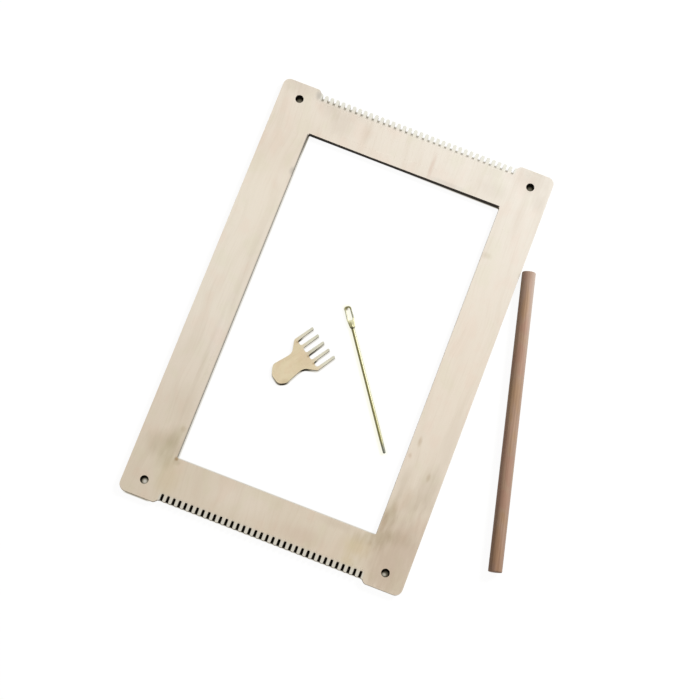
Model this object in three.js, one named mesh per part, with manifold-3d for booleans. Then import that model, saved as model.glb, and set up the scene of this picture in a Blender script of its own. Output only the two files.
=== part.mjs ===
// Hand weaving frame: a slotted plywood board with its beater comb, needle and stick.
// Millimetres, +Z up. The set lies on a table, with the origin under the middle of its footprint.
import * as THREE from 'three';
import { mergeVertices } from 'three/addons/utils/BufferGeometryUtils.js';
import Module from 'manifold-3d';

// Frame board
const BOARD_WIDTH = 260;
const BOARD_LENGTH = 400;
const BOARD_THICKNESS = 6;
const BOARD_CORNER_RADIUS = 6.3;
const SIDE_RAIL_WIDTH = 38.2;
const END_RAIL_WIDTH = 42.4;
const WINDOW_CORNER_RADIUS = 2;

// Corner holes
const HOLE_DIAMETER = 7.5;
const HOLE_FROM_SIDE = 18.9;
const HOLE_FROM_END = 15;

// Warp teeth along both short edges
const WARP_PITCH = 5.37;
const WARP_SLOT_WIDTH = 2.2;
const WARP_SLOT_DEPTH = 6.2;
const WARP_SLOT_ROOT_RADIUS = 0.9;
const TOOTH_TIP_RADIUS = 1.4;
const TOOTH_SETBACK = 3;
const SLOTS_FROM_SIDE = 37.4;
const EAR_LAND = 1.6;
const EAR_SHOULDER_RUN = 3.2;
const EAR_SHOULDER_RADIUS = 3;
const EAR_FOOT_RADIUS = 1.5;

// Beater comb
const COMB_THICKNESS = 3;
const COMB_HANDLE_LENGTH = 36.3;
const COMB_BUTT_WIDTH = 20.6;
const COMB_BUTT_DEPTH = 6.4;
const COMB_BUTT_FLAT = 9.4;
const COMB_BUTT_OFFSET = 1.9;
const COMB_BUTT_RADIUS = 5.2;
const COMB_WAIST_WIDTH = 16.5;
const COMB_WAIST_FROM_ROOTS = 10.4;
const COMB_WAIST_RADIUS = 8;
const COMB_SHOULDER_FROM_ROOTS = 1.2;
const COMB_SHOULDER_RADIUS = 2.5;
const TINES = 5;
const TINE_LENGTH = 18.3;
const TINE_ROOT_WIDTH = 2.9;
const TINE_TIP_WIDTH = 2.3;
const TINE_TIP_RADIUS = 0.8;
const TINE_GAP = 5;
const TINE_ROOT_RADIUS = 1.6;

// Weaving needle
const NEEDLE_LENGTH = 135;
const NEEDLE_DIAMETER = 3;
const NEEDLE_TIP_DIAMETER = 2.5;
const NEEDLE_TIP_TAPER = 12;
const HEAD_LENGTH = 20.2;
const HEAD_THICKNESS = 2;
const HEAD_EDGE_RADIUS = 0.5;
const HEAD_END_WIDTH = 6.1;
const HEAD_WIDTH = 6.8;
const HEAD_WIDEST_FROM_END = 12;
const HEAD_ROOT_WIDTH = 4.4;
const HEAD_ROOT_RADIUS = 0.8;
const HEAD_SIDE_RADIUS = 5;
const EYE_WALL = 1.35;
const EYE_LENGTH = 11.6;
const EYE_RADIUS = 1.15;
const RIDGE_LENGTH = 6;
const RIDGE_END_DIAMETER = 1.5;

// Shuttle stick
const STICK_LENGTH = 268;
const STICK_DIAMETER = 12.3;
const STICK_EDGE_RADIUS = 0.8;

// How the loose pieces lie around the board
const STICK_BESIDE_BOARD = 0.7;
const STICK_TILT = THREE.MathUtils.degToRad(13.45);
const STICK_END_FROM_BOARD_END = 89.6;
const NEEDLE_TILT = THREE.MathUtils.degToRad(34.8);
const NEEDLE_TIP_FROM_SIDE_RAIL = 17.8;
const NEEDLE_TIP_FROM_END_RAIL = 69.8;
const COMB_BESIDE_NEEDLE = 27.9;
const COMB_TIPS_FROM_EYE = 26.9;
const COMB_FROM_NEEDLE_TURN = THREE.MathUtils.degToRad(112.5);

// Roundness of the facets
const ARC_TOLERANCE = 0.03;
const FULLEST_ROUNDING = 0.49;
const STICK_SIDES = 48;
const NEEDLE_SIDES = 24;
const QUARTER_STEPS = 4;
const BEVEL_STEPS = 2;

const plywood = new THREE.MeshStandardMaterial({ color: 0xdccbb4, roughness: 0.7, metalness: 0 });
const thinPlywood = new THREE.MeshStandardMaterial({ color: 0xd9c5a0, roughness: 0.7, metalness: 0 });
const brass = new THREE.MeshStandardMaterial({ color: 0xc9b568, roughness: 0.28, metalness: 1 });
const darkWood = new THREE.MeshStandardMaterial({ color: 0xa18068, roughness: 0.6, metalness: 0 });

const wasm = await Module();
wasm.setup();

// One corner of an outline, rounded by an arc that touches both of its sides.
function roundedCorner(before, [x, y, radius = 0], after) {
  const corner = new THREE.Vector2(x, y);
  if (radius === 0) return [corner];
  const toBefore = new THREE.Vector2(before[0] - x, before[1] - y).normalize();
  const toAfter = new THREE.Vector2(after[0] - x, after[1] - y).normalize();
  const halfAngle = Math.acos(THREE.MathUtils.clamp(toBefore.dot(toAfter), -1, 1)) / 2;
  const centre = toBefore.clone().add(toAfter).normalize()
    .multiplyScalar(radius / Math.sin(halfAngle)).add(corner);
  const touch = (side) => corner.clone().addScaledVector(side, radius / Math.tan(halfAngle));
  const start = touch(toBefore).sub(centre).angle();
  const end = touch(toAfter).sub(centre).angle();
  const sweep = THREE.MathUtils.euclideanModulo(end - start + Math.PI, 2 * Math.PI) - Math.PI;
  const step = 2 * Math.acos(1 - Math.min(ARC_TOLERANCE / radius, 0.5));
  const count = Math.max(2, Math.ceil(Math.abs(sweep) / step));
  return Array.from({ length: count + 1 }, (_, i) => {
    const angle = start + (sweep * i) / count;
    return new THREE.Vector2(centre.x + radius * Math.cos(angle), centre.y + radius * Math.sin(angle));
  });
}

// A rounding small enough for one at each side of the same wall.
function fitted(radius, wall) {
  return Math.min(radius, FULLEST_ROUNDING * wall);
}

// A closed outline from corners written as [x, y, radius].
function outline(corners) {
  const count = corners.length;
  return corners.flatMap((corner, i) =>
    roundedCorner(corners[(i + count - 1) % count], corner, corners[(i + 1) % count]));
}

// The same corners on the other side of the x axis, in the order that closes the outline.
function mirroredBelow(corners) {
  const below = corners.map(([x, y, radius]) => [x, -y, radius]).reverse();
  return [...corners, ...below];
}

function circle(x, y, radius) {
  const step = 2 * Math.acos(1 - ARC_TOLERANCE / radius);
  const count = 4 * Math.ceil(Math.PI / (2 * step));
  return Array.from({ length: count }, (_, i) => {
    const angle = (2 * Math.PI * i) / count;
    return new THREE.Vector2(x + radius * Math.cos(angle), y + radius * Math.sin(angle));
  });
}

function plate(corners, cutouts, thickness) {
  const shape = new THREE.Shape(outline(corners));
  shape.holes = cutouts.map((points) => new THREE.Path(points));
  return new THREE.ExtrudeGeometry(shape, { depth: thickness, bevelEnabled: false });
}

// The toothed edge at +Y, from its right ear to its left one, with as many slots as fit between them.
function toothedEdge() {
  const tipY = BOARD_LENGTH / 2 - TOOTH_SETBACK;
  const rootY = tipY - WARP_SLOT_DEPTH;
  const tipRadius = fitted(TOOTH_TIP_RADIUS, WARP_PITCH - WARP_SLOT_WIDTH);
  const landRadius = fitted(TOOTH_TIP_RADIUS, EAR_LAND);
  const rootRadius = fitted(WARP_SLOT_ROOT_RADIUS, WARP_SLOT_WIDTH);
  const slots = Math.floor((BOARD_WIDTH - 2 * SLOTS_FROM_SIDE) / WARP_PITCH) + 1;
  const lastSlot = ((slots - 1) / 2) * WARP_PITCH;
  const shoulderX = lastSlot + WARP_SLOT_WIDTH / 2 + EAR_LAND;
  const shoulder = [
    [shoulderX + EAR_SHOULDER_RUN, BOARD_LENGTH / 2, EAR_SHOULDER_RADIUS],
    [shoulderX, tipY, EAR_FOOT_RADIUS],
  ];
  const teeth = Array.from({ length: slots }, (_, i) => {
    const right = lastSlot - i * WARP_PITCH + WARP_SLOT_WIDTH / 2;
    const left = right - WARP_SLOT_WIDTH;
    return [
      [right, tipY, i === 0 ? landRadius : tipRadius],
      [right, rootY, rootRadius],
      [left, rootY, rootRadius],
      [left, tipY, i === slots - 1 ? landRadius : tipRadius],
    ];
  }).flat();
  const leftShoulder = shoulder.map(([x, y, radius]) => [-x, y, radius]).reverse();
  return [
    [BOARD_WIDTH / 2, BOARD_LENGTH / 2, BOARD_CORNER_RADIUS],
    ...shoulder,
    ...teeth,
    ...leftShoulder,
    [-BOARD_WIDTH / 2, BOARD_LENGTH / 2, BOARD_CORNER_RADIUS],
  ];
}

function frameBoard() {
  const topEdge = toothedEdge();
  const bottomEdge = topEdge.map(([x, y, radius]) => [-x, -y, radius]);
  const halfWindowX = BOARD_WIDTH / 2 - SIDE_RAIL_WIDTH;
  const halfWindowY = BOARD_LENGTH / 2 - END_RAIL_WIDTH;
  const opening = outline([
    [halfWindowX, halfWindowY, WINDOW_CORNER_RADIUS],
    [-halfWindowX, halfWindowY, WINDOW_CORNER_RADIUS],
    [-halfWindowX, -halfWindowY, WINDOW_CORNER_RADIUS],
    [halfWindowX, -halfWindowY, WINDOW_CORNER_RADIUS],
  ]);
  const holeX = BOARD_WIDTH / 2 - HOLE_FROM_SIDE;
  const holeY = BOARD_LENGTH / 2 - HOLE_FROM_END;
  const holes = [[1, 1], [-1, 1], [-1, -1], [1, -1]]
    .map(([sideX, sideY]) => circle(sideX * holeX, sideY * holeY, HOLE_DIAMETER / 2));
  return plate([...topEdge, ...bottomEdge], [opening, ...holes], BOARD_THICKNESS);
}

// The comb lies along +X, with the middle of its tine tips at its origin. Its butt is cut lopsided.
function beaterComb() {
  const rootX = -TINE_LENGTH;
  const buttX = rootX - COMB_HANDLE_LENGTH;
  const pitch = TINE_ROOT_WIDTH + TINE_GAP;
  const edgeY = ((TINES - 1) * pitch + TINE_ROOT_WIDTH) / 2;
  const tipRadius = fitted(TINE_TIP_RADIUS, TINE_TIP_WIDTH);
  const rootRadius = fitted(TINE_ROOT_RADIUS, TINE_GAP);
  const handleSide = (side) => [
    [rootX - COMB_SHOULDER_FROM_ROOTS, side * edgeY, COMB_SHOULDER_RADIUS],
    [rootX - COMB_WAIST_FROM_ROOTS, (side * COMB_WAIST_WIDTH) / 2, COMB_WAIST_RADIUS],
    [buttX + COMB_BUTT_DEPTH, (side * COMB_BUTT_WIDTH) / 2, COMB_BUTT_RADIUS],
    [buttX, (side * COMB_BUTT_FLAT) / 2 - COMB_BUTT_OFFSET, COMB_BUTT_RADIUS],
  ];
  const tines = Array.from({ length: TINES }, (_, i) => {
    const middleY = -edgeY + TINE_ROOT_WIDTH / 2 + i * pitch;
    const lowRoot = i === 0 ? [] : [[rootX, middleY - TINE_ROOT_WIDTH / 2, rootRadius]];
    const highRoot = i === TINES - 1 ? [] : [[rootX, middleY + TINE_ROOT_WIDTH / 2, rootRadius]];
    return [
      ...lowRoot,
      [0, middleY - TINE_TIP_WIDTH / 2, tipRadius],
      [0, middleY + TINE_TIP_WIDTH / 2, tipRadius],
      ...highRoot,
    ];
  }).flat();
  const handle = [...handleSide(1), ...handleSide(-1).reverse()];
  return plate([...handle, ...tines], [], COMB_THICKNESS);
}

function toManifold(geometry) {
  const merged = geometry.clone();
  merged.deleteAttribute('normal');
  merged.deleteAttribute('uv');
  const welded = mergeVertices(merged);
  return new wasm.Manifold(new wasm.Mesh({
    numProp: 3,
    vertProperties: new Float32Array(welded.attributes.position.array),
    triVerts: new Uint32Array(welded.index.array),
  }));
}

function fromManifold(solid) {
  const mesh = solid.getMesh();
  const geometry = new THREE.BufferGeometry();
  geometry.setAttribute('position', new THREE.BufferAttribute(new Float32Array(mesh.vertProperties), 3));
  geometry.setIndex(new THREE.BufferAttribute(new Uint32Array(mesh.triVerts), 1));
  geometry.computeVertexNormals();
  return geometry;
}

// A solid of revolution along X, from [x, radius] points that start and end on the axis.
function turned(profile, sides) {
  const points = profile.map(([x, radius]) => new THREE.Vector2(radius, x));
  return new THREE.LatheGeometry(points, sides).rotateZ(-Math.PI / 2);
}

// Points [x, radius] of a quarter round that ends an outline at endX, from its side to its end face.
function quarterRound(endX, sideRadius, roundness, outward) {
  return Array.from({ length: QUARTER_STEPS + 1 }, (_, i) => {
    const angle = (Math.PI / 2) * (i / QUARTER_STEPS);
    return [
      endX - outward * roundness * (1 - Math.sin(angle)),
      sideRadius - roundness * (1 - Math.cos(angle)),
    ];
  });
}

// The flat head of the needle with its long eye, from x = 0 at the eye end.
function needleHead() {
  const sides = mirroredBelow([
    [HEAD_LENGTH, HEAD_ROOT_WIDTH / 2, HEAD_ROOT_RADIUS],
    [HEAD_WIDEST_FROM_END, HEAD_WIDTH / 2, HEAD_SIDE_RADIUS],
    [0, HEAD_END_WIDTH / 2, EYE_RADIUS + EYE_WALL],
  ]);
  const eye = mirroredBelow([
    [EYE_WALL + EYE_LENGTH, HEAD_WIDTH / 2 - EYE_WALL, EYE_RADIUS],
    [EYE_WALL, HEAD_END_WIDTH / 2 - EYE_WALL, EYE_RADIUS],
  ]);
  const shape = new THREE.Shape(outline(sides));
  shape.holes = [new THREE.Path(outline(eye))];
  const geometry = new THREE.ExtrudeGeometry(shape, {
    depth: HEAD_THICKNESS - 2 * HEAD_EDGE_RADIUS,
    bevelEnabled: true,
    bevelThickness: HEAD_EDGE_RADIUS,
    bevelSize: HEAD_EDGE_RADIUS,
    bevelOffset: -HEAD_EDGE_RADIUS,
    bevelSegments: BEVEL_STEPS,
  });
  return geometry.translate(0, 0, -HEAD_THICKNESS / 2 + HEAD_EDGE_RADIUS);
}

// The needle lies along +X, with its blunt tip at its origin. Its shaft fades into the head as a ridge.
function weavingNeedle() {
  const ridgeStart = HEAD_LENGTH - RIDGE_LENGTH;
  const tipRadius = NEEDLE_TIP_DIAMETER / 2;
  const shaft = turned([
    [ridgeStart, 0],
    [ridgeStart, RIDGE_END_DIAMETER / 2],
    [HEAD_LENGTH, NEEDLE_DIAMETER / 2],
    [NEEDLE_LENGTH - NEEDLE_TIP_TAPER, NEEDLE_DIAMETER / 2],
    ...quarterRound(NEEDLE_LENGTH, tipRadius, tipRadius, 1).slice(0, -1),
    [NEEDLE_LENGTH, 0],
  ], NEEDLE_SIDES);
  const solid = toManifold(needleHead()).add(toManifold(shaft));
  return fromManifold(solid).translate(-NEEDLE_LENGTH, 0, 0);
}

// The stick lies along +X from its origin, with the rims of both ends softened.
function shuttleStick() {
  const radius = STICK_DIAMETER / 2;
  return turned([
    [0, 0],
    ...quarterRound(0, radius, STICK_EDGE_RADIUS, -1).reverse(),
    ...quarterRound(STICK_LENGTH, radius, STICK_EDGE_RADIUS, 1),
    [STICK_LENGTH, 0],
  ], STICK_SIDES);
}

function named(name, geometry, material) {
  const mesh = new THREE.Mesh(geometry, material);
  mesh.name = name;
  return mesh;
}

const board = named('frame_board', frameBoard(), plywood);

// The stick lies on the table with its upper end against the board's right edge.
const stick = named('shuttle_stick', shuttleStick(), darkWood);
const stickReach = (STICK_DIAMETER / 2) * Math.cos(STICK_TILT);
stick.rotation.z = STICK_TILT - Math.PI / 2;
stick.position.set(
  BOARD_WIDTH / 2 + STICK_BESIDE_BOARD + stickReach,
  BOARD_LENGTH / 2 - STICK_END_FROM_BOARD_END,
  STICK_DIAMETER / 2,
);

// The needle and the comb lie together inside the window, near its right rail.
const needle = named('weaving_needle', weavingNeedle(), brass);
needle.position.z = NEEDLE_DIAMETER / 2;
const comb = named('beater_comb', beaterComb(), thinPlywood);
comb.position.set(COMB_TIPS_FROM_EYE - NEEDLE_LENGTH, -COMB_BESIDE_NEEDLE, 0);
comb.rotation.z = COMB_FROM_NEEDLE_TURN;
const insideWindow = new THREE.Group();
insideWindow.add(needle, comb);
insideWindow.rotation.z = NEEDLE_TILT - Math.PI / 2;
insideWindow.position.set(
  BOARD_WIDTH / 2 - SIDE_RAIL_WIDTH - NEEDLE_TIP_FROM_SIDE_RAIL,
  -BOARD_LENGTH / 2 + END_RAIL_WIDTH + NEEDLE_TIP_FROM_END_RAIL,
  0,
);

const weavingFrame = new THREE.Group();
weavingFrame.add(board, stick, insideWindow);
const footprint = new THREE.Box3().setFromObject(weavingFrame, true);
const middle = footprint.getCenter(new THREE.Vector3());
weavingFrame.position.set(-middle.x, -middle.y, -footprint.min.z);

export default weavingFrame;
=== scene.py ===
import math
from functools import reduce

import bmesh
import bpy
from mathutils import Matrix, Quaternion, Vector


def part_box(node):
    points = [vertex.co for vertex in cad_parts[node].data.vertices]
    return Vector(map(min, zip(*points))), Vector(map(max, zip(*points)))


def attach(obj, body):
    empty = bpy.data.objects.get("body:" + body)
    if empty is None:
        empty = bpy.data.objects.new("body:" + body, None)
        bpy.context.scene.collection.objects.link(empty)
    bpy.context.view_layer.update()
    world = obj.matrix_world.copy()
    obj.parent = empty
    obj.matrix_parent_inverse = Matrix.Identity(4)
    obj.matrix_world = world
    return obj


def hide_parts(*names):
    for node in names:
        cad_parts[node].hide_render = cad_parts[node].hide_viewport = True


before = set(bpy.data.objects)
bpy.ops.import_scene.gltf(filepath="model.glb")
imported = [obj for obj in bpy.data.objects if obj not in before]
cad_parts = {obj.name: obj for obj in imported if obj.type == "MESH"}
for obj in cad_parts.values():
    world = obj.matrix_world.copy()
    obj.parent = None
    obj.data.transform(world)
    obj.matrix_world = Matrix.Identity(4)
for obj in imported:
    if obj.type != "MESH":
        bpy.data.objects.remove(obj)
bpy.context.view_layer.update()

# The weaving frame set: a plywood board, a beater comb, a long-eyed needle and a round stick.
# Lengths named here are in millimetres. Blender's own are in metres.
MM = 0.001
SHARP_EDGE = math.radians(50)


def middle_of(node):
    low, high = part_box(node)
    return (low + high) / 2


def size_of(node):
    low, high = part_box(node)
    return (high - low) / MM


# Board, measured from its own middle
BOARD_MIDDLE = middle_of("frame_board")
BOARD_SIZE = size_of("frame_board")
BOARD_RIM = 0.22
BOARD_PLIES = 5
HALF_WIDTH = BOARD_SIZE.x / 2
HALF_LENGTH = BOARD_SIZE.y / 2
SIDE_RAIL = 38.2
END_RAIL = 42.4
WINDOW_X = HALF_WIDTH - SIDE_RAIL
WINDOW_Y = HALF_LENGTH - END_RAIL
HOLE_FROM_SIDE = 18.9
HOLE_FROM_END = 15
HOLE_RADIUS = 3.75
TEETH_REACH = 93
TEETH_LENGTH = 9.5
SLOT_PITCH = 5.37
HALF_SLOT = 1.1

# Comb, measured along its tines from its own middle
COMB_MIDDLE = middle_of("beater_comb")
COMB_SIZE = size_of("beater_comb")
COMB_RIM = 0.18
COMB_PLIES = 3
COMB_TURN = math.radians(57.3)
TINE_ROOTS = 3.9
TINE_PITCH = 7.9
TINE_TIPS = 22.2

# Shadows beside three of the tines, each as its place across the comb and its length
TINE_SHADOWS = ((15.9, 6), (0.1, 20), (-7.8, 3.5))

# Darker stretches of the shadow beside the comb, each as its middle from the board's and its reach
COMB_SHADOWS = (((-17, -44), (8, 8)), ((-32, -62), (9, 6)))

# Needle, measured towards its eye from its own middle
NEEDLE_MIDDLE = middle_of("weaving_needle")
NEEDLE_TURN = math.radians(124.8)
NEEDLE_GRAIN = 0.18
NEEDLE_SMOOTHING = 10
NEEDLE_TIP = -67.5
HEAD_ROOT = 47.3
EYE_FOOT = 55
EYE_TOP = 65

# Stick, measured from its own middle
STICK_MIDDLE = middle_of("shuttle_stick")
STICK_TURN = math.radians(-76.55)

# Camera
CAMERA_AT = (5.43, -361.43, 1646.72)
CAMERA_AIM = (-24.24, -12.5, 0)
CAMERA_ROLL = math.radians(16.323)
CAMERA_LENS = 98.338
CAMERA_SENSOR = 36

# Studio
LAMP_AT = (900, 1220, 1310)
LAMP_AIM = (-20, 40, 0)
LAMP_ACROSS = 670
LAMP_WATTS = 33
LAMP_TINT = (1.0, 0.985, 0.965)
ROOM_STRENGTH = 0.43
PAPER_STRENGTH = 1.06
PAPER_WHITE_SHARE = 0.88
FLOOR_REACH = 20000
FLOOR_DROP = 0.05


class Value:
    """A number or vector that varies over a surface. Sums written with it add Math nodes."""

    def __init__(self, paint, socket):
        self.paint = paint
        self.socket = socket

    def maths(self, operation, *values):
        return self.paint.node("ShaderNodeMath", {"operation": operation}, dict(enumerate(values)))

    def __add__(self, other):
        return self.maths("ADD", self, other)

    __radd__ = __add__

    def __sub__(self, other):
        return self.maths("SUBTRACT", self, other)

    def __rsub__(self, other):
        return self.maths("SUBTRACT", other, self)

    def __mul__(self, other):
        return self.maths("MULTIPLY", self, other)

    __rmul__ = __mul__

    def __truediv__(self, other):
        return self.maths("DIVIDE", self, other)

    def __abs__(self):
        return self.maths("ABSOLUTE", self)

    def __mod__(self, other):
        return self.maths("FLOORED_MODULO", self, other)

    def most(self, other):
        return self.maths("MAXIMUM", self, other)

    def step(self, none, full):
        """0 at the first number, 1 at the second and smooth between them, whichever is the larger."""
        settings = {"interpolation_type": "SMOOTHSTEP"}
        return self.paint.node("ShaderNodeMapRange", settings, {0: self, 1: none, 2: full})

    def within(self, low, high, soft=1.0):
        """1 from the lower number to the higher one, falling to 0 outside them."""
        return self.step(low - soft, low) * self.step(high + soft, high)


class Paint:
    """The nodes of one material or world. Its node method makes every one of them."""

    def __init__(self, owner):
        self.owner = owner
        owner.use_nodes = True
        self.tree = owner.node_tree
        self.tree.nodes.clear()

    def node(self, kind, settings=None, values=None, output=0):
        made = self.tree.nodes.new(kind)
        for name, setting in (settings or {}).items():
            setattr(made, name, setting)
        for key, value in (values or {}).items():
            if isinstance(value, Value):
                self.tree.links.new(value.socket, made.inputs[key])
            else:
                made.inputs[key].default_value = value
        return Value(self, made.outputs[output]) if made.outputs else made

    def vector(self, operation, first, second=(0, 0, 0), output=0):
        return self.node("ShaderNodeVectorMath", {"operation": operation}, {0: first, 1: second}, output)

    def noise(self, where, stretch, detail=2.0, roughness=0.5):
        """Noise whose grains per millimetre are given for each axis."""
        values = {"Vector": self.vector("MULTIPLY", where, stretch), "Scale": 1.0,
                  "Detail": detail, "Roughness": roughness}
        return self.node("ShaderNodeTexNoise", {"noise_dimensions": "3D"}, values)

    def mix(self, amount, first, second, blend="MIX"):
        settings = {"data_type": "RGBA", "blend_type": blend}
        return self.node("ShaderNodeMix", settings, {0: amount, 6: first, 7: second}, output=2)

    def tinted(self, amount, surface, tint):
        return self.mix(amount, surface, tint, "MULTIPLY")

    def place(self, middle, turn=0.0):
        """Millimetres from a piece's middle, with the first axis turned to lie along the piece."""
        where = self.node("ShaderNodeTexCoord", output="Object")
        from_middle = self.vector("SUBTRACT", where, tuple(middle))
        return self.vector("DIVIDE", self.turned(from_middle, turn), (MM, MM, MM))

    def facing(self, turn=0.0):
        return self.parts(self.turned(self.node("ShaderNodeTexCoord", output="Normal"), turn))

    def turned(self, vector, turn):
        values = {"Vector": vector, "Angle": -turn}
        return self.node("ShaderNodeVectorRotate", {"rotation_type": "Z_AXIS"}, values)

    def parts(self, vector):
        split = self.node("ShaderNodeSeparateXYZ", values={0: vector}).socket.node
        return [Value(self, socket) for socket in split.outputs]

    def blot(self, where, at, reach, ragged=0.0):
        """1 in the middle of a patch and smoothly 0 at its edge."""
        offset = self.vector("SUBTRACT", where, (*at, 0))
        spread = self.vector("DIVIDE", offset, (*reach, 100))
        return (self.vector("LENGTH", spread, output="Value") + ragged).step(1.1, 0.15)

    def background_seen(self):
        """1 for the rays that show the white background, straight or in a shiny surface."""
        ray = self.node("ShaderNodeLightPath").socket.node
        camera, glossy, through = [Value(self, ray.outputs[name]) for name in (
            "Is Camera Ray", "Is Glossy Ray", "Is Transmission Ray")]
        return camera.most(glossy).most(through)

    def finish(self, shader, kind="ShaderNodeOutputMaterial"):
        self.node(kind, values={"Surface": shader})
        return self.owner


def colour(red, green, blue):
    return (red, green, blue, 1.0)


# Board face and its teeth
# The near colour is painted shade and the far one a painted sheen
BOARD_NEAR_SHADED = colour(0.750, 0.660, 0.535)
BOARD_FACE = colour(0.815, 0.735, 0.630)
BOARD_FAR_SHEEN = colour(0.825, 0.785, 0.718)
BOARD_LEFT = colour(0.850, 0.785, 0.680)
TOOTH_NEAR = colour(0.700, 0.690, 0.620)
TOOTH_FAR = colour(0.790, 0.800, 0.735)

# Marks on the board's face, each as its middle, its reach to either side and its depth. They multiply
# the wood's colour, so a tint above 1 pales it.
OLIVE = colour(0.74, 0.72, 0.63)
UMBER = colour(0.60, 0.50, 0.38)
SLATE = colour(0.70, 0.72, 0.74)
ROSE = colour(0.86, 0.76, 0.73)
ASH = colour(0.86, 0.84, 0.82)
HONEY = colour(0.90, 0.86, 0.72)
MILK = colour(1.07, 1.08, 1.12)
BOARD_MARKS = (
    (OLIVE, (
        ((-106, -150), (23, 14), 0.55),
        ((-101, -142), (9, 14), 0.5),
        ((-114, -159), (8, 8), 0.25),
        ((-90, -161), (4, 4), 0.5),
        ((-101, -163), (11, 10), 0.35),
        ((-108, -110), (18, 24), 0.2),
        ((97, -136), (8, 16), 0.7),
        ((110, -119), (15, 13), 0.28),
        ((96, -166), (8, 7), 0.25),
        ((95, -158), (16, 10), 0.65),
        ((112, -153), (18, 8), 0.3),
        ((80, -165), (12, 7), 0.4),
        ((96, 111), (6, 4), 0.4),
    )),
    (UMBER, (
        ((-91.9, -158.4), (2.4, 2.4), 1.0),
        ((-96, -132), (3, 4), 0.3),
        ((99, -68), (2.4, 6), 0.42),
        ((95, -82), (2.2, 3), 0.32),
        ((117, -95), (2.4, 5.5), 0.4),
        ((-43, 178), (7, 14), 0.17),
        ((94, -141), (4, 12), 0.3),
    )),
    (SLATE, (
        ((-93, 120), (3, 6), 0.9),
        ((-95, 195), (6, 6), 0.9),
        ((40, 160), (24, 3), 0.35),
    )),
    (ROSE, (
        ((22, 170), (2.5, 15), 0.65),
        ((30, -182), (26, 12), 0.4),
        ((112, 150), (8, 26), 0.15),
        ((113, -170), (28, 48), 0.4),
    )),
    (ASH, (
        ((115, -163), (34, 60), 0.95),
        ((121, -105), (13, 26), 0.85),
        ((124, -60), (9, 42), 0.45),
        ((98, -106), (6, 18), 0.6),
        ((58, -161), (24, 5), 0.5),
        ((76, 185), (10, 9), 0.3),
        ((-98, 20), (4, 90), 0.4),
        ((-102, -60), (3, 70), 0.4),
        ((-114, 198), (24, 14), 0.7),
        ((-68, 192), (36, 12), 0.45),
        ((112, 194), (26, 20), 0.6),
        ((123, 174), (8, 12), 0.6),
        ((-67, 176), (15, 16), 0.6),
        ((-82, 185), (14, 10), 0.45),
        ((80, 170), (18, 12), 0.45),
    )),
    (HONEY, (
        ((-92, -176), (13, 24), 0.5),
        ((80, -173), (17, 12), 0.75),
        ((76, -187), (8, 8), 0.6),
    )),
    (MILK, (
        ((-26, -172), (38, 18), 0.75),
        ((119, -172), (12, 18), 0.6),
        ((-99, -40), (5, 55), 0.6),
        ((-124, 146), (7, 14), 0.5),
        ((-100, 112), (6, 12), 0.6),
    )),
)

# Cut walls: laser-burnt inside the board, and only browned round its outside
CHAR = colour(0.010, 0.007, 0.005)
CHAR_LIGHT = colour(0.026, 0.018, 0.011)
GLUE_LINE = colour(0.060, 0.040, 0.025)
LONG_PLY = colour(0.620, 0.535, 0.415)
CROSS_PLY = colour(0.470, 0.380, 0.270)
SCORCH = colour(0.180, 0.125, 0.080)
SMOKE = colour(0.150, 0.145, 0.130)

# Veneer's grain
STREAK = colour(0.72, 0.66, 0.58)
BAND = colour(0.76, 0.70, 0.62)
ROSY_PATCH = colour(1.0, 0.950, 0.940)
GREENISH_PATCH = colour(0.955, 0.985, 0.93)
PORE = colour(0.74, 0.66, 0.56)

# Comb
COMB_FACE = colour(0.790, 0.688, 0.480)
COMB_DEEP = colour(0.765, 0.650, 0.450)
COMB_TINES = colour(0.765, 0.755, 0.620)

# Needle
# Brass colours, most of them painted light and shade on the shaft, root and eye
PALE_GOLD = colour(0.590, 0.575, 0.380)
ROOT_GOLD = colour(0.450, 0.438, 0.285)
SHADED_ROOT = colour(0.270, 0.258, 0.140)
BRASS_HIGHLIGHT = colour(0.485, 0.476, 0.345)
HIGHLIGHT_NEAR_TIP = colour(0.380, 0.366, 0.235)
LIT_EYE_WIRE = colour(0.400, 0.395, 0.295)
SHADED_BRASS = colour(0.198, 0.186, 0.080)
SHADED_EYE_WIRE = colour(0.230, 0.232, 0.165)
ROOT_DARK_SPOT = colour(0.050, 0.045, 0.025)
TIP_STEEL = colour(0.150, 0.155, 0.125)
TARNISH = colour(0.75, 0.72, 0.62)

# Stick
DOWEL_DARK = colour(0.280, 0.172, 0.112)
DOWEL_LIGHT = colour(0.400, 0.265, 0.182)
DOWEL_PORE = colour(0.220, 0.140, 0.092)
DOWEL_END = colour(0.210, 0.130, 0.085)
DOWEL_ROSY = colour(1.0, 0.89, 0.91)
DOWEL_TAN = colour(1.0, 0.95, 0.79)
# Painted light and shade on the stick: a paler far end, a darker near end and left side, and a sheen
DOWEL_FAR_LIGHT = colour(1.05, 1.10, 1.20)
DOWEL_NEAR_SHADE = colour(0.98, 0.93, 0.94)
DOWEL_LEFT_SHADE = colour(0.70, 0.68, 0.64)
DOWEL_NEAR_LEFT_SHADE = colour(0.76, 0.74, 0.72)
DOWEL_NEAR_RIGHT_SHADE = colour(0.84, 0.80, 0.80)
DOWEL_SHEEN = colour(0.54, 0.46, 0.41)

# Studio
WHITE = colour(1, 1, 1)
BLACK = colour(0, 0, 0)
ROOM_LIGHT = colour(1.0, 0.97, 0.93)
PAPER = colour(0.86, 0.86, 0.86)
PAPER_IN_SHADOW = colour(0.03, 0.026, 0.018)
# A painted reflection of the brass on the paper
PAPER_BY_BRASS = colour(1.0, 0.99, 0.86)
WARM_SHADOW = colour(0.80, 0.70, 0.45)


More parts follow.
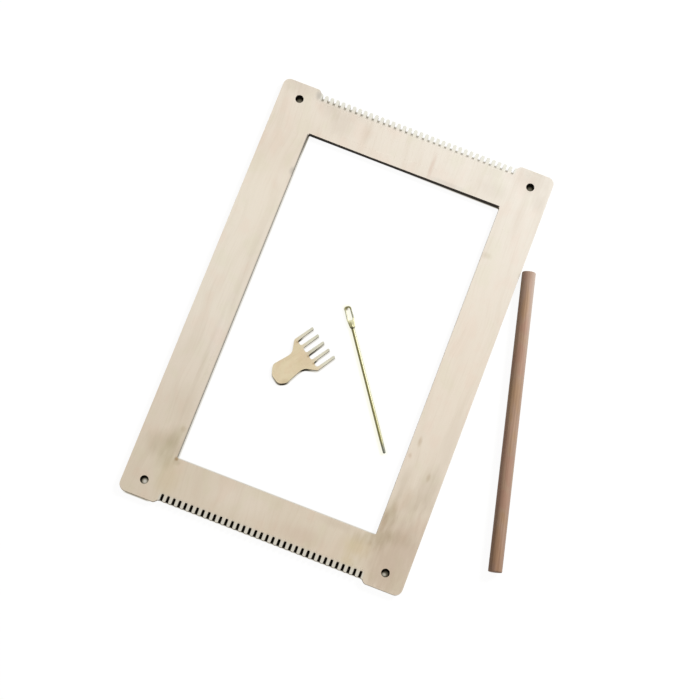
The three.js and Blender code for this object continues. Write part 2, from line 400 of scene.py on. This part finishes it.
def grained(paint, where, wood, patch=20.0):
    """Peeled veneer's grain along the first axis: wavering streaks, wide bands, patches and pores."""
    waver = paint.noise(where, (0.014, 0.02, 0.3), detail=1.0)
    shift = paint.node("ShaderNodeCombineXYZ", values={"Y": (waver - 0.5) * 16})
    drifted = paint.vector("ADD", where, shift)
    streaks = paint.noise(drifted, (0.022, 0.62, 0.3), detail=4.0, roughness=0.62)
    bands = paint.noise(drifted, (0.011, 0.085, 0.3), detail=2.0)
    patches = paint.noise(drifted, (0.8 / patch, 1.1 / patch, 0.3), detail=2.0)
    pores = paint.noise(drifted, (0.16, 2.4, 0.3), detail=2.0)
    wood = paint.tinted(streaks.step(0.45, 0.78) * 0.15, wood, STREAK)
    wood = paint.tinted(bands.step(0.45, 0.72) * 0.16, wood, BAND)
    wood = paint.tinted(patches.step(0.52, 0.66) * 0.5, wood, ROSY_PATCH)
    wood = paint.tinted(patches.step(0.48, 0.34) * 0.45, wood, GREENISH_PATCH)
    wood = paint.tinted(pores.step(0.64, 0.78) * 0.14, wood, PORE)
    return wood, streaks, pores


def cut_plies(paint, where, height, thickness, plies, burnt):
    """A plywood wall: plies with their grain by turns along and across, and a glue line between two."""
    ply = (height / thickness + 0.5) * plies
    glue = abs((ply % 1.0) - 0.5).step(0.40, 0.48)
    cross = (ply % 2.0).step(0.95, 1.05)
    fibres = paint.noise(where, (1.4, 1.4, 0.3), detail=3.0)
    browned = paint.mix(glue * 0.6, paint.mix(cross, LONG_PLY, CROSS_PLY), GLUE_LINE)
    browned = paint.mix(fibres.step(0.45, 0.75) * 0.6, browned, SCORCH)
    charred = paint.mix((cross * 0.6).most(fibres.step(0.35, 0.75) * 0.7), CHAR_LIGHT, CHAR)
    return paint.mix(burnt, browned, charred)


def plywood(paint, wood, wall, streaks, pores):
    """Dull sanded faces and rougher cut walls. The rims between them are part of the face."""
    face = abs(paint.facing()[2]).step(0.5, 0.9)
    bump = paint.node("ShaderNodeBump", values={
        "Strength": 0.25, "Distance": 0.05 * MM, "Height": streaks * 0.4 + pores * 0.25})
    return paint.finish(paint.node("ShaderNodeBsdfPrincipled", values={
        "Base Color": paint.mix(face, wall, wood),
        "Roughness": 0.8 - 0.16 * face + 0.06 * streaks,
        "Specular IOR Level": 0.2,
        "Normal": bump}))


def board_veneer(paint, where):
    """The board's face: browner near end in painted shade, paler far right in a painted sheen, grain and
    stains.
    """
    x, y, height = paint.parts(where)
    # Painted shade darkens the near end and a painted sheen pales the far right
    wood = paint.mix(y.step(-190, -45), BOARD_NEAR_SHADED, BOARD_FACE)
    wood = paint.mix((y + x * 0.6).step(20, 300), wood, BOARD_FAR_SHEEN)
    wood = paint.mix(x.step(-60, -120) * y.within(-20, 90, 50), wood, BOARD_LEFT)
    along = paint.place(BOARD_MIDDLE, math.pi / 2)
    wood, streaks, pores = grained(paint, along, wood)

    ragged = (paint.noise(along, (0.07, 0.25, 0.3), detail=3.0) - 0.5) * 0.7
    top = height.step(0, 1)
    for tint, marks in BOARD_MARKS:
        for at, reach, depth in marks:
            stain = paint.blot(where, at, reach, ragged) * top
            wood = paint.tinted(stain * depth, wood, tint)
    return wood, streaks, pores


def scorched_teeth(paint, where, wood):
    """Pale teeth, with browned rims along the near slots and painted shade at the roots of the far ones.
    """
    x, y, _ = paint.parts(where)
    start = HALF_LENGTH - TEETH_LENGTH
    teeth = abs(y).step(start - 2, start + 4) * abs(x).step(TEETH_REACH + 2, TEETH_REACH)
    wood = paint.mix(teeth * 0.85, wood, paint.mix(y.step(0, 1), TOOTH_NEAR, TOOTH_FAR))
    from_slot = abs(((x / SLOT_PITCH + 0.5) % 1.0) - 0.5) * SLOT_PITCH
    near_rims = from_slot.step(HALF_SLOT + 0.45, HALF_SLOT + 0.1) * teeth * y.step(0, -1)
    # Painted shade at the roots of the far slots
    far_root_shade = from_slot.step(HALF_SLOT + 0.5, HALF_SLOT - 0.2)
    far_root_shade = far_root_shade * y.within(start - 0.2, start + 0.4, 0.5)
    far_root_shade = far_root_shade * abs(x).step(TEETH_REACH + 1, TEETH_REACH)
    return paint.mix((near_rims * 0.7).most(far_root_shade * 0.35), wood, SCORCH)


def dark_window_rims(paint, where, wood):
    """The window's dark far rim, which is wider towards both ends, and its grey left rim."""
    x, y, _ = paint.parts(where)
    far_rim = (y - abs(x + 30) * 0.004).step(WINDOW_Y + 0.35, WINDOW_Y + 0.15)
    far_rim = far_rim * abs(x).step(WINDOW_X, WINDOW_X - 1)
    far_rim = far_rim * y.step(WINDOW_Y - 2, WINDOW_Y - 1)
    left_rim = x.within(-WINDOW_X - 0.5, -WINDOW_X, 0.6) * abs(y).step(WINDOW_Y, WINDOW_Y - 1)
    wood = paint.mix(far_rim, wood, CHAR_LIGHT)
    return paint.mix(left_rim * (y.step(115, 150) * 0.35 + 0.35), wood, SMOKE)


def board_walls(paint, where):
    """The board's cut walls, charred in its window, holes and slots and browned round its outside. The
    window's left wall is smoky, and the near right ear's is nearly as pale as the face."""
    x, y, height = paint.parts(where)
    inside = abs(x).step(HALF_WIDTH - 1, HALF_WIDTH - 7)
    inside = inside * abs(y).step(HALF_LENGTH - 3.2, HALF_LENGTH - 4.2)
    inside = inside * (1 - y.step(HALF_LENGTH - 11, HALF_LENGTH - 8) * 0.75)
    inside = inside * (1 - x.within(WINDOW_X - 1, WINDOW_X + 1) * 0.5)
    wall = cut_plies(paint, where, height, BOARD_SIZE.z, BOARD_PLIES, inside)
    left_wall = x.within(-WINDOW_X - 1, -WINDOW_X + 1) * (1 - y.step(90, 150) * 0.8)
    wall = paint.mix(left_wall * 0.8, wall, SMOKE)
    near_right_ear = x.step(90, 100) * y.step(-190, -198)
    return paint.mix(near_right_ear * 0.7, wall, BOARD_FACE)


def board_plywood():
    paint = Paint(bpy.data.materials.new("board_plywood"))
    where = paint.place(BOARD_MIDDLE)
    wood, streaks, pores = board_veneer(paint, where)
    wood = scorched_teeth(paint, where, wood)
    wood = dark_window_rims(paint, where, wood)
    return plywood(paint, wood, board_walls(paint, where), streaks, pores)


def comb_plywood():
    paint = Paint(bpy.data.materials.new("comb_plywood"))
    along = paint.place(COMB_MIDDLE, COMB_TURN)
    reach, _, height = paint.parts(along)
    warm = paint.noise(along, (0.11, 0.13, 0.3), detail=2.0).step(0.35, 0.65)
    wood = paint.mix(warm, COMB_DEEP, COMB_FACE)
    wood = paint.mix(reach.step(TINE_ROOTS - 3, TINE_ROOTS + 7), wood, COMB_TINES)
    wood, streaks, pores = grained(paint, along, wood, patch=6.0)

    # Painted shade along one side of the third tine
    third_tine_shade = paint.blot(along, (TINE_ROOTS + 6, TINE_PITCH * 0.3), (9, 3))
    wood = paint.tinted(paint.blot(along, (1, 0), (11, 10)) * 0.3, wood, ROSE)
    wood = paint.tinted(paint.blot(along, (-27, -7), (5, 5)) * 0.4, wood, OLIVE)
    wood = paint.tinted(third_tine_shade * 0.45, wood, SLATE)
    wood = paint.tinted(reach.step(TINE_TIPS - 7, TINE_TIPS - 1) * 0.35, wood, SLATE)
    # Painted shade at the roots of three tines
    for side, _ in TINE_SHADOWS:
        root = paint.blot(along, (TINE_ROOTS - 0.4, side), (1.7, 1.4))
        wood = paint.tinted(root * 0.8, wood, UMBER)
    wall = cut_plies(paint, along, height, COMB_SIZE.z, COMB_PLIES, 0.9)
    return plywood(paint, wood, wall, streaks, pores)


def dowel_wood():
    """Brown dowel with fine streaks along it, rosy and tan stretches, darker end grain, and painted light
    and shade.
    """
    paint = Paint(bpy.data.materials.new("dowel_wood"))
    along = paint.place(STICK_MIDDLE, STICK_TURN)
    reach, across, _ = paint.parts(along)
    streaks = paint.noise(along, (0.02, 0.8, 0.8), detail=4.0, roughness=0.65)
    pores = paint.noise(along, (0.12, 3.0, 3.0), detail=2.0)
    flush = paint.noise(along, (0.045, 0.10, 0.10), detail=1.0)
    near_half = reach.step(40, 110)
    wood = paint.mix(streaks.step(0.25, 0.75), DOWEL_DARK, DOWEL_LIGHT)
    wood = paint.tinted(flush.step(0.5, 0.62) * 0.8, wood, DOWEL_ROSY)
    wood = paint.tinted(flush.step(0.5, 0.38) * 0.8, wood, DOWEL_TAN)
    # Painted light and shade: a paler far end, a darker, rosier near end, a darker left side, a sheen on
    # the right
    wood = paint.tinted(reach.step(-85, -120), wood, DOWEL_FAR_LIGHT)
    wood = paint.tinted(reach.step(85, 115), wood, DOWEL_NEAR_SHADE)
    wood = paint.tinted(across.step(-1.5, -5.5) * 0.8, wood, DOWEL_LEFT_SHADE)
    wood = paint.mix(across.step(1.0, 5.5) * (0.55 - reach.step(-110, -20) * 0.35), wood, DOWEL_SHEEN)
    wood = paint.tinted(across.step(0, -5) * near_half * 0.8, wood, DOWEL_NEAR_LEFT_SHADE)
    wood = paint.tinted(across.step(2.5, 5.5) * near_half * 0.6, wood, DOWEL_NEAR_RIGHT_SHADE)
    wood = paint.mix(pores.step(0.6, 0.8) * 0.4, wood, DOWEL_PORE)

    ends = abs(paint.facing(STICK_TURN)[0]).step(0.6, 0.95)
    vessels = paint.noise(along, (0.1, 2.6, 2.6), detail=3.0)
    wood = paint.mix(ends, wood, paint.mix(vessels.step(0.35, 0.65), DOWEL_END, DOWEL_DARK))
    bump = paint.node("ShaderNodeBump", values={
        "Strength": 0.3, "Distance": 0.05 * MM, "Height": streaks + pores * 0.5})
    return paint.finish(paint.node("ShaderNodeBsdfPrincipled", values={
        "Base Color": wood,
        "Roughness": 0.55 + 0.12 * pores + 0.2 * ends,
        "Specular IOR Level": 0.4,
        "Normal": bump}))


def brass():
    """Old brass, with painted light and shade: an olive-shaded shaft highlit on its other side, a
    steel-grey tip, a pale gold root shaded on one side, one eye wire lit and one shaded, a shaded eye top,
    a dark spot below the root."""
    paint = Paint(bpy.data.materials.new("brass"))
    along = paint.place(NEEDLE_MIDDLE, NEEDLE_TURN)
    reach, across, _ = paint.parts(along)
    marks = paint.noise(along, (0.5, 1.1, 1.1), detail=4.0, roughness=0.7)
    # Painted highlight along one side of the shaft, dimmer towards the tip, and painted shade along the
    # other
    pale = paint.mix(reach.step(-5, -40), BRASS_HIGHLIGHT, HIGHLIGHT_NEAR_TIP)
    shaft = paint.mix(across.step(-1.1, -0.1), pale, SHADED_BRASS)
    shaft = paint.mix(reach.step(NEEDLE_TIP + 12, NEEDLE_TIP + 3), shaft, TIP_STEEL)
    # Painted light and shade on the eye's two wires and on the root's two sides
    eye = paint.mix(across.step(0.5, -0.5), LIT_EYE_WIRE, SHADED_EYE_WIRE)
    root = paint.mix(across.step(-0.6, 0.3), ROOT_GOLD, SHADED_ROOT)
    root = paint.mix(reach.step(EYE_FOOT - 4, EYE_FOOT - 1), root, PALE_GOLD)
    metal = paint.mix(reach.step(HEAD_ROOT - 1, HEAD_ROOT + 1), shaft, root)
    metal = paint.mix(reach.step(EYE_FOOT - 1, EYE_FOOT + 2), metal, eye)
    # Painted shade at the top of the eye, then a dark spot below the root
    metal = paint.mix(reach.step(EYE_TOP - 3, EYE_TOP), metal, SHADED_BRASS)
    metal = paint.mix(paint.blot(along, (HEAD_ROOT - 0.6, 0), (1.6, 4)), metal, ROOT_DARK_SPOT)
    metal = paint.tinted(marks.step(0.4, 0.75) * 0.2, metal, TARNISH)
    return paint.finish(paint.node("ShaderNodeBsdfPrincipled", values={
        "Base Color": metal,
        "Metallic": 1.0,
        "Roughness": 0.46 + 0.10 * marks}))


def dark_slots(x, y):
    """Shadow on the paper under the slots, where it shows through them."""
    near = y.within(4.1 - HALF_LENGTH, 12 - HALF_LENGTH, 1.4)
    far = (y + x * 0.006).within(HALF_LENGTH - 12, HALF_LENGTH - 6.4, 1.6) * 0.65
    return near.most(far) * x.within(-TEETH_REACH, TEETH_REACH)


def dark_holes(paint, x, y):
    """Shadow on the paper in the corner holes, round a spot of light that is stronger in the near ones."""
    # The remainders lay the four holes over one another
    to_hole_x, to_hole_y = HALF_WIDTH - HOLE_FROM_SIDE, HALF_LENGTH - HOLE_FROM_END
    from_hole = paint.node("ShaderNodeCombineXYZ", values={
        "X": (x % (2 * to_hole_x)) - to_hole_x, "Y": (y % (2 * to_hole_y)) - to_hole_y})
    holes = paint.vector("LENGTH", from_hole, output="Value").step(HOLE_RADIUS + 1.2, HOLE_RADIUS + 0.8)
    under_board = x.within(-HALF_WIDTH, HALF_WIDTH) * y.within(-HALF_LENGTH, HALF_LENGTH)
    near, left = y.step(0, -1), x.step(0, -1)
    lit = paint.blot(from_hole, (0.5, -0.5), (3.1, 3.1)) * (near * left * 0.45 + 0.15)
    lit = lit.most(paint.blot(from_hole, (-0.3, -1.0), (2.7, 2.2)) * near * (1 - left) * 0.5)
    return holes * under_board * (1 - lit)


def dark_feet(x, y):
    """Thin shadows at the foot of the window's four walls and of the near left ear."""
    left = x.step(1.5 - WINDOW_X, 0.8 - WINDOW_X) * (y.step(WINDOW_Y - 26, WINDOW_Y - 6) * 0.4 + 0.35)
    right = x.step(WINDOW_X - 0.7, WINDOW_X - 0.3) * y.step(-40, 40) * 0.1
    near = y.step(1.8 - WINDOW_Y, 1.2 - WINDOW_Y) * 0.4
    far = y.step(WINDOW_Y - 0.9, WINDOW_Y - 0.3) * (x.step(-20, 100) * 0.75)
    in_window = x.within(-WINDOW_X, WINDOW_X) * y.within(-WINDOW_Y, WINDOW_Y)
    ear = x.within(9 - HALF_WIDTH, -TEETH_REACH - 11, 5)
    ear = ear * y.within(-HALF_LENGTH - 0.5, -HALF_LENGTH + 1, 0.8) * 0.6
    return (left.most(right).most(near).most(far) * in_window).most(ear)


def dark_beside_comb(paint, where, x, y):
    """Contact shadow beside the comb, on its near and right sides."""
    tilt = paint.node("ShaderNodeCombineXYZ", values={"X": -0.36, "Y": 0.93, "Z": 0.2})
    open_sky = paint.node("ShaderNodeAmbientOcclusion", {"samples": 16}, {
        "Distance": 1.7 * MM, "Normal": tilt}, "AO")
    along = paint.place(COMB_MIDDLE, COMB_TURN)
    deep = [paint.blot(where, at, reach) for at, reach in COMB_SHADOWS]
    deep += [paint.blot(along, (TINE_ROOTS + 1.5, side), (length, 2.4)) for side, length in TINE_SHADOWS]
    beside = (1 - open_sky.step(0.6, 0.95)) * (reduce(Value.most, deep) * 0.6 + 0.4)
    return beside * x.within(-60, 8) * y.within(-75, 4)


def studio_paper():
    """White paper with the shadows that the set leaves on it, and a faint golden reflection of the brass
    painted beside the needle.
    """
    paint = Paint(bpy.data.materials.new("studio_paper"))
    where = paint.place(BOARD_MIDDLE)
    x, y, _ = paint.parts(where)
    along_needle = paint.place(NEEDLE_MIDDLE, NEEDLE_TURN)
    reach, across, _ = paint.parts(along_needle)
    # A painted reflection of the brass beside the needle, and a painted shadow inside the top of its eye
    golden = abs(across - 0.4).step(5, 1.5) * reach.within(NEEDLE_TIP, -NEEDLE_TIP, 3)
    in_eye = paint.blot(along_needle, (EYE_TOP + 0.6, 0.9), (2.4, 2.6)) * 0.8

    dark = reduce(Value.most, (
        dark_holes(paint, x, y), dark_slots(x, y), dark_feet(x, y),
        dark_beside_comb(paint, where, x, y), in_eye))
    white_share = paint.background_seen() * (1 - dark) * PAPER_WHITE_SHARE
    glow = paint.mix(dark, paint.mix(golden, WHITE, PAPER_BY_BRASS), WARM_SHADOW)
    paper = paint.node("ShaderNodeBsdfPrincipled", values={
        "Base Color": paint.mix(dark, PAPER, PAPER_IN_SHADOW),
        "Roughness": 1.0,
        "Specular IOR Level": 0.0})
    white = paint.node("ShaderNodeBsdfPrincipled", values={
        "Base Color": BLACK,
        "Roughness": 1.0,
        "Specular IOR Level": 0.0,
        "Emission Color": glow,
        "Emission Strength": PAPER_STRENGTH})
    return paint.finish(paint.node("ShaderNodeMixShader", values={0: white_share, 1: paper, 2: white}))


def studio_air():
    """Dim warm light from all round. The background is seen as white."""
    paint = Paint(bpy.data.worlds.new("studio_air"))
    room = paint.node("ShaderNodeBackground", values={"Color": ROOM_LIGHT, "Strength": ROOM_STRENGTH})
    white = paint.node("ShaderNodeBackground", values={"Color": WHITE, "Strength": 1.0})
    sky = paint.node("ShaderNodeMixShader", values={0: paint.background_seen(), 1: room, 2: white})
    return paint.finish(sky, "ShaderNodeOutputWorld")


def copied_node(name):
    """A new object with the shape of a CAD node, which it stands for."""
    piece = bpy.data.objects.new(name + "_dressed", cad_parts[name].data.copy())
    piece.data.materials.clear()
    bpy.context.scene.collection.objects.link(piece)
    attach(piece, "root")
    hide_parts(name)
    return piece


def with_mesh(piece, change):
    """Joins a mesh's loose faces and runs a change on it."""
    mesh = bmesh.new()
    mesh.from_mesh(piece.data)
    bmesh.ops.remove_doubles(mesh, verts=mesh.verts, dist=0.001 * MM)
    change(mesh)
    mesh.to_mesh(piece.data)
    mesh.free()


def turn_mesh(mesh, middle, angle):
    bmesh.ops.rotate(mesh, verts=mesh.verts, cent=middle, matrix=Matrix.Rotation(angle, 3, "Z"))


def apply_modifiers(piece):
    shown = bpy.context.evaluated_depsgraph_get()
    shown.update()
    shaped = bpy.data.meshes.new_from_object(piece.evaluated_get(shown))
    piece.modifiers.clear()
    piece.data = shaped


def smooth(piece):
    for face in piece.data.polygons:
        face.use_smooth = True
    piece.data.set_sharp_from_angle(angle=SHARP_EDGE)


def soften_rims(mesh, width):
    """Rounds the edges where a flat plate's faces meet its walls."""
    flats = [face for face in mesh.faces if abs(face.normal.z) > 0.99]
    rims = {edge for face in flats for edge in face.edges
            if any(abs(other.normal.z) < 0.01 for other in edge.link_faces)}
    bmesh.ops.bevel(mesh, geom=list(rims), offset=width * MM, segments=2, profile=0.5,
                    affect="EDGES", clamp_overlap=True)


def plate_piece(name, rim, material):
    piece = copied_node(name)
    with_mesh(piece, lambda mesh: soften_rims(mesh, rim))
    smooth(piece)
    flat_first = piece.modifiers.new("flat_first", "WEIGHTED_NORMAL")
    flat_first.weight = 100
    flat_first.keep_sharp = True
    piece.data.materials.append(material)


def needle_piece():
    """The needle cast in one fine mesh and polished, so that its head flows into its shaft."""
    piece = copied_node("weaving_needle")
    with_mesh(piece, lambda mesh: turn_mesh(mesh, NEEDLE_MIDDLE, -NEEDLE_TURN))
    cast = piece.modifiers.new("cast", "REMESH")
    cast.mode = "VOXEL"
    cast.voxel_size = NEEDLE_GRAIN * MM
    polish = piece.modifiers.new("polish", "SMOOTH")
    polish.factor = 0.5
    polish.iterations = NEEDLE_SMOOTHING
    apply_modifiers(piece)
    with_mesh(piece, lambda mesh: turn_mesh(mesh, NEEDLE_MIDDLE, NEEDLE_TURN))
    smooth(piece)
    piece.data.materials.append(brass())


def stick_piece():
    piece = copied_node("shuttle_stick")
    with_mesh(piece, lambda mesh: None)
    smooth(piece)
    piece.data.materials.append(dowel_wood())


def lay_floor():
    reach = FLOOR_REACH * MM
    mesh = bpy.data.meshes.new("studio_floor")
    corners = [(-reach, -reach, 0), (reach, -reach, 0), (reach, reach, 0), (-reach, reach, 0)]
    mesh.from_pydata(corners, [], [(0, 1, 2, 3)])
    floor = bpy.data.objects.new("studio_floor", mesh)
    floor.location.z = -FLOOR_DROP * MM
    floor.data.materials.append(studio_paper())
    bpy.context.scene.collection.objects.link(floor)


def hang_lamp(name, at, aim, across, watts, tint):
    lamp = bpy.data.lights.new(name, "AREA")
    lamp.shape = "DISK"
    lamp.size = across * MM
    lamp.energy = watts
    lamp.color = tint
    holder = bpy.data.objects.new(name, lamp)
    holder.location = Vector(at) * MM
    holder.rotation_mode = "QUATERNION"
    holder.rotation_quaternion = (Vector(aim) - Vector(at)).to_track_quat("-Z", "Y")
    bpy.context.scene.collection.objects.link(holder)


def stand_camera():
    lens = bpy.data.cameras.new("camera")
    lens.lens = CAMERA_LENS
    lens.sensor_width = CAMERA_SENSOR
    camera = bpy.data.objects.new("camera", lens)
    at, aim = Vector(CAMERA_AT) * MM, Vector(CAMERA_AIM) * MM
    camera.location = at
    camera.rotation_mode = "QUATERNION"
    level = (aim - at).to_track_quat("-Z", "Y")
    camera.rotation_quaternion = level @ Quaternion((0, 0, 1), CAMERA_ROLL)
    bpy.context.scene.collection.objects.link(camera)
    bpy.context.scene.camera = camera


stand_camera()
hang_lamp("window_light", LAMP_AT, LAMP_AIM, LAMP_ACROSS, LAMP_WATTS, LAMP_TINT)
bpy.context.scene.world = studio_air()
lay_floor()

plate_piece("frame_board", BOARD_RIM, board_plywood())
plate_piece("beater_comb", COMB_RIM, comb_plywood())
needle_piece()
stick_piece()

bpy.context.scene.view_settings.view_transform = "Standard"
